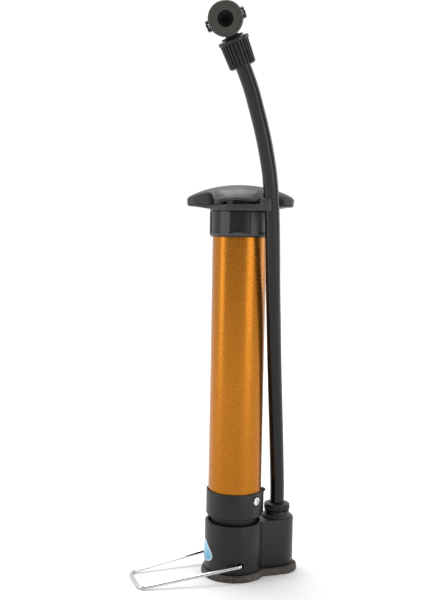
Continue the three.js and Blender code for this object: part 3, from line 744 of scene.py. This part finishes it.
def make_handle_shell():
    """Winged shell: a foot rim, a waist with pockets, a rounded brim and a crown in rings over it."""
    points = 480
    columns = []
    for i in range(points):
        t = i / points * TURN
        angle = math.atan2(0.5 * math.sin(t), math.cos(t))
        full = smooth_max(box_radius(angle, 34.6, 11.5, 3.5), box_radius(angle, 16.8, 19.2, 5))
        low = smooth_max(box_radius(angle, 34.3, 11.2, 3.5), HUB_R - 0.6)
        c, s = math.cos(angle), math.sin(angle)
        x, y = full * c, full * s
        pocket = pocket_share(x, y)
        wall = full - 0.9 + 0.75 * smoothstep(18, 24, abs(x))
        round_edge = smoothstep(20, 31, abs(x))
        waist = wall + (max(full - 6, 5) - wall) * pocket
        dip = 0.9 * math.exp(-((abs(x) - 14) / 3.5) ** 2)
        brim = dome_height(x, y) - dip
        foot = 239.9 + 1.4 * smoothstep(20, 34, abs(x))
        inner = full - 0.2 - 1.1 * round_edge
        top = dome_height(inner * c, inner * s) - dip
        columns.append(Column(c, s, full, low, waist, brim, foot, dip, round_edge, inner, top))

    def ring(radius, height):
        return [(radius(k) * k.c, radius(k) * k.s, height(k)) for k in columns]

    rings = [
        ring(lambda k: k.low - 1.0, lambda k: k.foot),
        ring(lambda k: k.low - 0.3, lambda k: k.foot + 0.25),
        ring(lambda k: k.low, lambda k: k.foot + 0.8),
        ring(lambda k: k.low, lambda k: HANDLE_WAIST - 0.3),
        ring(lambda k: min(k.low - 0.35, max(k.waist, 8)), lambda k: HANDLE_WAIST + 0.05),
        ring(lambda k: k.waist, lambda k: HANDLE_WAIST + 0.3),
        ring(lambda k: k.waist, lambda k: k.brim - 1.3 - 1.2 * k.round_edge),
        ring(lambda k: k.full - 0.6 + 0.5 * k.round_edge, lambda k: k.brim - 1.15 - 1.1 * k.round_edge),
        ring(lambda k: k.full - 0.12 + 0.1 * k.round_edge, lambda k: k.brim - 0.9 - 0.9 * k.round_edge),
        ring(lambda k: k.full, lambda k: k.brim - 0.45 - 0.5 * k.round_edge),
        ring(lambda k: k.full - 0.08 - 0.3 * k.round_edge, lambda k: k.brim - 0.1 - 0.1 * k.round_edge),
        ring(lambda k: k.inner + 0.35 * k.round_edge, lambda k: k.top - 0.35 * k.round_edge),
        ring(lambda k: k.inner, lambda k: k.top),
    ]
    layers = 30
    for layer in range(1, layers):
        scale = 1 - (layer / layers) ** 1.15
        ring_points = []
        for k in columns:
            r = k.inner * scale
            x, y = r * k.c, r * k.s
            ring_points.append((x, y, dome_height(x, y) - k.dip * smoothstep(0.8, 1, scale)))
        rings.append(ring_points)
    return solid("wing_handle", loft(rings), AT_HANDLE)


def make_hub():
    """Round hub under the shell, with the ribs of the pockets running down over its rim."""
    def shape(r, z, angle):
        x, y = r * math.cos(angle), r * math.sin(angle)
        return r + 0.3 * (1 - pocket_share(x, y)) if r > HUB_R - 0.8 and abs(x) < 15.5 else r

    profile = rounded([
        (0.01, HANDLE_BOTTOM), (HUB_R, HANDLE_BOTTOM), (HUB_R, HANDLE_WAIST), (0.01, HANDLE_WAIST)],
        0.5, loop=False)
    return solid("hub", lathe(profile, 360, False, shape), AT_HANDLE)


def make_handle():
    handle = make_handle_shell()
    band = [(0, -15), (0, -19.5), (8, -21.2), (15.5, -22.6), (20, -23.3), (20, -8)]
    jaw = [(15.2, -8), (15.5, -22.4), (17.2, -23.2), (21.4, -23.6), (22.4, -22.9), (22.4, -8)]
    horn_foot = [(14.2, -12), (14.5, -19.4), (18.5, -21.6), (18.5, -12)]
    horn_tip = [(16.3, -13.5), (16.5, -18.6), (18.5, -19.6), (18.5, -13.5)]
    horn = loft([[(x, y, 244.2) for x, y in horn_foot], [(x, y, 249.8) for x, y in horn_tip]])
    combined(handle, [
        make_hub(),
        bevelled(solid("band", slab(band, HANDLE_BOTTOM, HANDLE_WAIST), AT_HANDLE), 0.45, 3),
        bevelled(solid("jaw", slab(jaw, HANDLE_BOTTOM, 245.9), AT_HANDLE), 0.8, 3),
        bevelled(solid("horn", horn, AT_HANDLE), 0.4, 2),
    ])
    route = [p for p in smooth_route(HOSE_ROUTE, 6) if 225 < p.z < 268]
    outward = Vector((math.cos(HANDLE_TURN), math.sin(HANDLE_TURN), 0))
    cutters = [solid("gap", along([p + outward * step for p in route], HOSE_R + 0.25, 48))
               for step in range(0, 16, 3)]
    notch = combined(cutters[0], cutters[1:])
    bore = solid("bore", lathe([(0.01, 237), (4.3, 237), (4.3, 239.7), (0.01, 239.7)], 48, False))
    combined(handle, [notch, bore], "DIFFERENCE")
    finish_piece(handle, "piston_assembly", "handle_plastic", "handle")


# ---- hose nuts and valve head ----
def ribbed(count, depth, low, high, width=0.5, edge=0.12):
    """A lathe shape with straight grooves between low and high; width is a groove's share of the pitch."""
    def shape(r, z, angle):
        off = abs((angle / TURN * count) % 1 - 0.5)
        groove = 1 - smoothstep(width / 2 - edge, width / 2 + edge, off)
        return r - depth * groove * smoothstep(low, low + 0.7, z) * (1 - smoothstep(high - 0.5, high, z))
    return shape


def fine_profile(profile, step):
    """The profile with long straight runs cut into short ones, so that grooves can end along them."""
    return split_runs(profile, lambda a, b: max(1, round(math.dist(a, b) / step)))


def only_outside(shape, inner):
    """The same lathe shape, kept off points whose radius is inner or less."""
    return lambda r, z, angle: shape(r, z, angle) if r > inner else r


def make_lower_nut():
    """Low domed nut with short teeth round its lower half."""
    outer = fine_profile(rounded([
        (5.05, 40.5), (8.2, 40.5), (8.6, 41.0), (8.6, 43.7), (8.2, 44.4), (6.6, 44.9), (5.5, 45.2),
        (5.05, 45.2)], 0.3), 0.35)
    teeth = only_outside(ribbed(26, 0.6, 40.4, 43.4, 0.5), 7.4)
    nut = solid("knurled_nut", lathe(outer, 384, shape=teeth), AT_BOSS)
    finish_piece(nut, "pump_body", "black_plastic", "hose_nut_lower")


def make_upper_nut():
    """Long fluted nut that widens to a flat collar under the head."""
    outer = fine_profile(rounded([
        (5.15, -29.2), (7.3, -29.2), (8.2, -28.2), (8.8, -14.4), (9.4, -14.2), (9.4, -12.4), (9.0, -12),
        (5.3, -12)], 0.3), 0.5)
    flutes = only_outside(ribbed(24, 1.0, -28.6, -14.2, 0.46), 6.8)
    nut = solid("fluted_nut", lathe(outer, 384, shape=flutes), HEAD)
    finish_piece(nut, "hose_end", "black_plastic", "hose_nut_upper")
    return nut


def make_head():
    """Round valve body on its leaning neck, and the screwed cap whose face holds the mouth."""
    body = solid("body", lathe(rounded([
        (5.3, -8.4), (7.6, -8.4), (7.6, -5.2), (8.6, -5.2), (8.6, 3), (7.7, 6), (5.6, 8.4), (2.2, 8.4),
        (2.2, 1.6), (5.3, 1.6)], 0.6), 96), ABOUT_VALVE)
    neck = solid("neck", lathe(rounded([
        (1.5, -15), (5, -15), (5, -11.8), (6.8, -11.75), (6.95, -11.3), (6.4, -11.05), (6.8, -10.8),
        (6.3, -10.5), (4.4, -10.3), (3.7, -9.6), (3.5, -7.5), (3.5, -4), (1.5, -4)], 0.15), 64), HEAD)
    combined(body, [neck])
    body.name = "valve_head"
    finish_piece(body, "hose_end", "black_plastic", "head_body")
    profile = fine_profile(rounded([
        (7.95, -5.4), (9.7, -5.4), (10.4, -6), (10.4, -10.9), (9.7, -11.85), (9.2, -12), (8.9, -11.45),
        (5.2, -11.4), (4.6, -10.9), (4.6, -9), (7.95, -9)], 0.18), 0.4)
    rim = only_outside(ribbed(40, 0.35, -11.0, -5.6, 0.4), 10.2)
    cap = solid("valve_cap", lathe(profile, 400, shape=rim), ABOUT_VALVE)
    finish_piece(cap, "hose_end", "black_plastic", "head_cap", look=HEAD_FACE)
    return [body, cap]


def make_lever():
    """Open lever, straight back from the valve: cheeks on the pins, a web behind the body, a thumb tab."""
    pin_y, web, thick, cheek_r = 3, 12.2, 2.6, 3.4
    tab_length, tab_half, tab_flare = 16.8, 6.1, 5.8
    cheek = [(pin_y + cheek_r * math.cos(a), cheek_r * math.sin(a))
             for a in (math.pi / 2 + i / 24 * math.pi for i in range(25))]
    cheek += [(web + thick, -cheek_r), (web + thick, cheek_r)]
    to_side = Matrix(((0, 0, 1, 0), (1, 0, 0, 0), (0, 1, 0, 0), (0, 0, 0, 1)))
    cheeks = [solid("cheek", slab(cheek, low, low + 1.3), HEAD @ to_side) for low in (-12.2, 10.9)]
    wall = [(-12.2, web), (12.2, web), (12.2, web + thick), (-12.2, web + thick)]
    lever = combined(solid("web", slab(wall, -cheek_r, cheek_r), HEAD), cheeks)
    rings = []
    for i in range(25):
        s = i / 24
        y = web + 0.4 + s * tab_length
        if s < 0.85:
            half = tab_half + tab_flare * (1 - smoothstep(0, 0.3, s))
        else:
            half = tab_half * math.sqrt(max(1 - ((s - 0.85) / 0.155) ** 2, 0.02))
        lift = 1.1 * smoothstep(0.55, 1, s)
        depth = 1.5 - 0.4 * s
        section = [(-half, -depth * 0.5), (-half * 0.92, -depth),
                   (half * 0.92, -depth), (half, -depth * 0.5),
                   (half, depth * 0.5), (half * 0.92, depth), (half * 0.92, depth - 0.01),
                   (0, depth - 0.25 * s), (-half * 0.92, depth - 0.01),
                   (-half * 0.92, depth), (-half, depth * 0.5)]
        rings.append([(x, y, z + lift) for x, z in section])
    tab = solid("tab", loft(rings), HEAD)
    combined(lever, [tab])
    grip_x, grip_y = 4.4, 0.4
    grips = []
    for y in (20.5, 22.3, 24.1, 25.9):
        groove = [(-grip_x, y - grip_y), (grip_x, y - grip_y), (grip_x, y + grip_y), (-grip_x, y + grip_y)]
        grips.append(solid("grip", slab(groove, 1.75, 5), HEAD))
    combined(lever, grips, "DIFFERENCE")
    bevelled(lever, 0.25, 2)
    lever.name = "thumb_lever"
    finish_piece(lever, "lever", "black_plastic", "head_lever")
    return lever


make_base()
make_pad()
make_badge()
make_stirrup()
make_collar()
make_screws()
make_barrel()
make_cap()
make_rod()
make_handle()
make_lower_nut()
head_pieces = [make_upper_nut(), *make_head(), make_lever()]

# The CAD pieces that stay as they are take the look of their slot, except the valve pusher and gasket in the
# mouth, which get near-black rubber that is partly painted shade.
for entry in frame["record"]["subparts"]:
    node = frame["nodes"][entry["node"]]
    node.data.materials.clear()
    # Painted shade: the pusher and gasket deep in the valve mouth are painted near black.
    shaded_inside_mouth = entry["node"] in ("valve_pusher", "valve_gasket")
    node.data.materials.append(VALVE_BLACK_PAINTED_SHADE if shaded_inside_mouth else LOOKS[entry["material_slot"]])


# ---- stage and light ----
def make_stage():
    """Pale floor that glows more the farther it is from the pump, so that it runs into the backdrop."""
    look = Look("floor", Roughness=0.9)
    look.colour(look.mix(look.spread(look.noise(3, 2), 0, 1), (0.77, 0.77, 0.77), (0.80, 0.80, 0.80)))
    away = look.n("ShaderNodeVectorMath", operation="LENGTH")
    look.wire(look.place, away.inputs[0])
    look.shader.inputs["Emission Color"].default_value = (1, 1, 1, 1)
    look.wire(look.spread(away.outputs["Value"], 0, 0.5, 0.12, 0.9), look.shader.inputs["Emission Strength"])
    mesh = bpy.data.meshes.new("floor")
    far = 6
    mesh.from_pydata([(-far, -far, 0), (far, -far, 0), (far, far, 0), (-far, far, 0)], [], [(0, 1, 2, 3)])
    mesh.materials.append(look.material)
    floor = bpy.data.objects.new("floor", mesh)
    bpy.context.scene.collection.objects.link(floor)


def area_light(name, place, target, size, power):
    data = bpy.data.lights.new(name, "AREA")
    data.shape = "RECTANGLE"
    data.size, data.size_y = size
    data.energy = power
    light = bpy.data.objects.new(name, data)
    light.location = place
    light.rotation_euler = (Vector(target) - Vector(place)).to_track_quat("-Z", "Y").to_euler()
    bpy.context.scene.collection.objects.link(light)


def make_light():
    """White to the camera; what the pump reflects is white behind and above. Four soft boxes light it."""
    dim, bright = 0.2, 1.02
    world = bpy.data.worlds.new("studio")
    world.use_nodes = True
    tree = world.node_tree
    direction = tree.nodes.new("ShaderNodeTexCoord").outputs["Generated"]
    levels = []
    for axis, start, end in (((0.32, 0.95, 0), -0.4, 0.4), ((0, 0, 1), 0.35, 0.9)):
        dot = tree.nodes.new("ShaderNodeVectorMath")
        dot.operation = "DOT_PRODUCT"
        dot.inputs[1].default_value = axis
        tree.links.new(direction, dot.inputs[0])
        level = tree.nodes.new("ShaderNodeMapRange")
        level.interpolation_type = "SMOOTHSTEP"
        for socket, number in (("From Min", start), ("From Max", end), ("To Min", dim), ("To Max", bright)):
            level.inputs[socket].default_value = number
        tree.links.new(dot.outputs["Value"], level.inputs["Value"])
        levels.append(level.outputs["Result"])
    brightest = tree.nodes.new("ShaderNodeMath")
    brightest.operation = "MAXIMUM"
    for socket, level in zip(brightest.inputs, levels):
        tree.links.new(level, socket)
    seen = tree.nodes.new("ShaderNodeMath")
    seen.operation = "MAXIMUM"
    tree.links.new(brightest.outputs["Value"], seen.inputs[0])
    tree.links.new(tree.nodes.new("ShaderNodeLightPath").outputs["Is Camera Ray"], seen.inputs[1])
    tree.links.new(seen.outputs["Value"], tree.nodes["Background"].inputs["Strength"])
    tree.nodes["Background"].inputs["Color"].default_value = (1, 1, 1, 1)
    bpy.context.scene.world = world
    middle, foot = (0, 0, 0.15), (0, 0, 0.05)
    area_light("left_box", (-1.25, 0.1, 0.55), middle, (0.42, 1.3), 5)
    area_light("right_box", (0.56, -1.06, 0.55), middle, (0.62, 1.3), 6.5)
    area_light("rim_box", (1.2, 0.17, 0.5), middle, (0.22, 1.3), 2.5)
    area_light("top_box", (-0.05, 0.28, 1.2), foot, (0.55, 0.55), 7.5)


make_stage()
make_light()
bpy.context.scene.view_settings.view_transform = "Standard"
